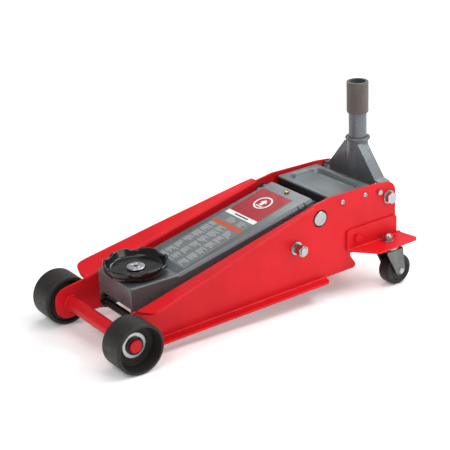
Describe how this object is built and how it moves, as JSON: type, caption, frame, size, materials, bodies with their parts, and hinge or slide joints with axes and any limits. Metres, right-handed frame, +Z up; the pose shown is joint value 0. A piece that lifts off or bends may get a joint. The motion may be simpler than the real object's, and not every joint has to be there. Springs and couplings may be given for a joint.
{
  "type": "hydraulic trolley jack",
  "caption": "Low trolley jack: folded side plates, parallelogram lift arm with cupped saddle, hydraulic ram, dished front wheels, rear casters and pump handle socket.",
  "frame": {"origin": "middle of the footprint, on the floor under the wheels", "axes": "-Y towards the saddle and front wheels, +Y towards the handle, +Z up, X across; the two sides mirror each other across X = 0"},
  "size_m": [0.2906, 0.6682, 0.3757],
  "materials": {
    "side_plate_left": "gloss red enamel",
    "side_plate_right": "gloss red enamel",
    "front_axle": "gloss red enamel",
    "hub_washer_left": "zinc plated",
    "hub_washer_right": "zinc plated",
    "axle_clip_left": "black paint",
    "axle_clip_right": "black paint",
    "caster_bracket_left": "gloss red enamel",
    "caster_bracket_right": "gloss red enamel",
    "bracket_bolt_left": "zinc plated",
    "bracket_bolt_right": "zinc plated",
    "caster_bolt_left": "zinc plated",
    "caster_bolt_right": "zinc plated",
    "unit_cross_plate": "gloss red enamel",
    "pump_block": "dark steel",
    "hydraulic_cylinder": "dark steel",
    "reservoir": "gloss red enamel",
    "parts_tray": "light grey metallic paint",
    "tray_front_plate": "black paint",
    "tray_screw_front_left": "zinc plated",
    "tray_screw_front_right": "zinc plated",
    "tray_screw_rear_left": "zinc plated",
    "tray_screw_rear_right": "zinc plated",
    "rear_stay_bolt": "zinc plated",
    "tie_rod_bolt": "zinc plated",
    "arm_pivot_pin": "zinc plated",
    "yoke_bolt_left": "zinc plated",
    "yoke_bolt_right": "zinc plated",
    "lift_arm": "grey metallic paint",
    "arm_label": "printed film",
    "arm_rear_screw": "plain",
    "crank_roller": "zinc plated",
    "head_pivot_pin": "dark steel",
    "saddle_bracket": "grey metallic paint",
    "tie_rod_front_pin": "dark steel",
    "saddle_screw": "zinc plated",
    "saddle": "gloss black paint",
    "tie_rod_left": "dark steel",
    "tie_rod_right": "dark steel",
    "ram": "zinc plated",
    "handle_yoke": "grey metallic paint",
    "plunger_roller": "zinc plated",
    "handle_tube": "grey metallic paint",
    "foam_grip": "closed-cell foam",
    "pump_plunger": "zinc plated",
    "release_valve": "zinc plated",
    "front_wheel_left": "black paint",
    "caster_fork_left": "dull plated steel",
    "caster_axle_left": "zinc plated",
    "caster_wheel_left": "black paint",
    "front_wheel_right": "black paint",
    "caster_fork_right": "dull plated steel",
    "caster_axle_right": "zinc plated",
    "caster_wheel_right": "black paint"
  },
  "bodies": {
    "chassis": {"side_plate_left": "side_plate_left", "side_plate_right": "side_plate_right", "front_axle": "front_axle", "hub_washer_left": "hub_washer_left", "hub_washer_right": "hub_washer_right", "axle_clip_left": "axle_clip_left", "axle_clip_right": "axle_clip_right", "caster_bracket_left": "caster_bracket_left", "caster_bracket_right": "caster_bracket_right", "bracket_bolt_left": "bracket_bolt_left", "bracket_bolt_right": "bracket_bolt_right", "caster_bolt_left": "caster_bolt_left", "caster_bolt_right": "caster_bolt_right", "unit_cross_plate": "unit_cross_plate", "pump_block": "pump_block", "hydraulic_cylinder": "hydraulic_cylinder", "reservoir": "reservoir", "parts_tray": "parts_tray", "tray_front_plate": "tray_front_plate", "tray_screw_front_left": "tray_screw_front_left", "tray_screw_front_right": "tray_screw_front_right", "tray_screw_rear_left": "tray_screw_rear_left", "tray_screw_rear_right": "tray_screw_rear_right", "rear_stay_bolt": "rear_stay_bolt", "tie_rod_bolt": "tie_rod_bolt", "arm_pivot_pin": "arm_pivot_pin", "yoke_bolt_left": "yoke_bolt_left", "yoke_bolt_right": "yoke_bolt_right"},
    "lift_arm": {"lift_arm": "lift_arm", "arm_label": "arm_label", "arm_rear_screw": "arm_rear_screw", "crank_roller": "crank_roller", "head_pivot_pin": "head_pivot_pin"},
    "saddle_bracket": {"saddle_bracket": "saddle_bracket", "tie_rod_front_pin": "tie_rod_front_pin", "saddle_screw": "saddle_screw"},
    "saddle": {"saddle": "saddle"},
    "tie_rods": {"tie_rod_left": "tie_rod_left", "tie_rod_right": "tie_rod_right"},
    "ram": {"ram": "ram"},
    "handle_yoke": {"handle_yoke": "handle_yoke", "plunger_roller": "plunger_roller"},
    "handle": {"handle_tube": "handle_tube", "foam_grip": "foam_grip"},
    "pump_plunger": {"pump_plunger": "pump_plunger"},
    "release_valve": {"release_valve": "release_valve"},
    "front_wheel_left": {"front_wheel_left": "front_wheel_left"},
    "caster_fork_left": {"caster_fork_left": "caster_fork_left", "caster_axle_left": "caster_axle_left"},
    "caster_wheel_left": {"caster_wheel_left": "caster_wheel_left"},
    "front_wheel_right": {"front_wheel_right": "front_wheel_right"},
    "caster_fork_right": {"caster_fork_right": "caster_fork_right", "caster_axle_right": "caster_axle_right"},
    "caster_wheel_right": {"caster_wheel_right": "caster_wheel_right"}
  },
  "joints": [
    {"name": "arm_lift", "type": "hinge", "parent": "chassis", "child": "lift_arm", "pos_m": [0, 0.13177, 0.16169], "axis": [-1, 0, 0], "range_deg": [0, 65]},
    {"name": "head_level", "type": "hinge", "parent": "lift_arm", "child": "saddle_bracket", "pos_m": [0, -0.18709, 0.09341], "axis": [-1, 0, 0], "range_deg": [-66, 1]},
    {"name": "tie_rod_swing", "type": "hinge", "parent": "chassis", "child": "tie_rods", "pos_m": [0, 0.07752, 0.11729], "axis": [-1, 0, 0], "range_deg": [-1, 66]},
    {"name": "saddle_spin", "type": "hinge", "parent": "saddle_bracket", "child": "saddle", "pos_m": [0, -0.20676, 0.12092], "axis": [0, -0.0523, 0.9986], "continuous": true},
    {"name": "ram_stroke", "type": "slide", "parent": "chassis", "child": "ram", "axis": [0, -0.9986, -0.0523], "range_m": [-0.0005, 0.0605]},
    {"name": "handle_pump", "type": "hinge", "parent": "chassis", "child": "handle_yoke", "pos_m": [0, 0.29732, 0.16887], "axis": [-1, 0, 0], "range_deg": [0, 50]},
    {"name": "plunger_stroke", "type": "slide", "parent": "chassis", "child": "pump_plunger", "axis": [0, -0.9986, -0.0523], "range_m": [-0.0005, 0.0242]},
    {"name": "handle_twist", "type": "hinge", "parent": "handle_yoke", "child": "handle", "pos_m": [0, 0.29231, 0.26454], "axis": [0, -0.0523, 0.9986], "range_deg": [-90, 90]},
    {"name": "release_valve_turn", "type": "hinge", "parent": "chassis", "child": "release_valve", "pos_m": [0.024, 0.29338, 0.10657], "axis": [0, 0.9986, 0.0523], "range_deg": [-91, 91]},
    {"name": "front_wheel_spin_left", "type": "hinge", "parent": "chassis", "child": "front_wheel_left", "pos_m": [0.119, -0.2892, 0.045], "axis": [1, 0, 0], "continuous": true},
    {"name": "caster_swivel_left", "type": "hinge", "parent": "chassis", "child": "caster_fork_left", "pos_m": [0.106, 0.28344, 0.08603], "axis": [0, -0.0523, 0.9986], "continuous": true},
    {"name": "caster_wheel_spin_left", "type": "hinge", "parent": "caster_fork_left", "child": "caster_wheel_left", "pos_m": [0.106, 0.3034, 0.03], "axis": [1, 0, 0], "continuous": true},
    {"name": "front_wheel_spin_right", "type": "hinge", "parent": "chassis", "child": "front_wheel_right", "pos_m": [-0.119, -0.2892, 0.045], "axis": [1, 0, 0], "continuous": true},
    {"name": "caster_swivel_right", "type": "hinge", "parent": "chassis", "child": "caster_fork_right", "pos_m": [-0.106, 0.28344, 0.08603], "axis": [0, -0.0523, 0.9986], "continuous": true},
    {"name": "caster_wheel_spin_right", "type": "hinge", "parent": "caster_fork_right", "child": "caster_wheel_right", "pos_m": [-0.106, 0.3034, 0.03], "axis": [1, 0, 0], "continuous": true}
  ],
  "couplings": [
    {"joint": "head_level", "follows": "arm_lift", "ratio": -1},
    {"joint": "tie_rod_swing", "follows": "arm_lift", "ratio": 1},
    {"joint": "ram_stroke", "follows": "arm_lift", "m_per_rad": 0.05201},
    {"joint": "plunger_stroke", "follows": "handle_pump", "m_per_rad": 0.02712},
    {"joint": "release_valve_turn", "follows": "handle_twist", "ratio": 1}
  ]
}
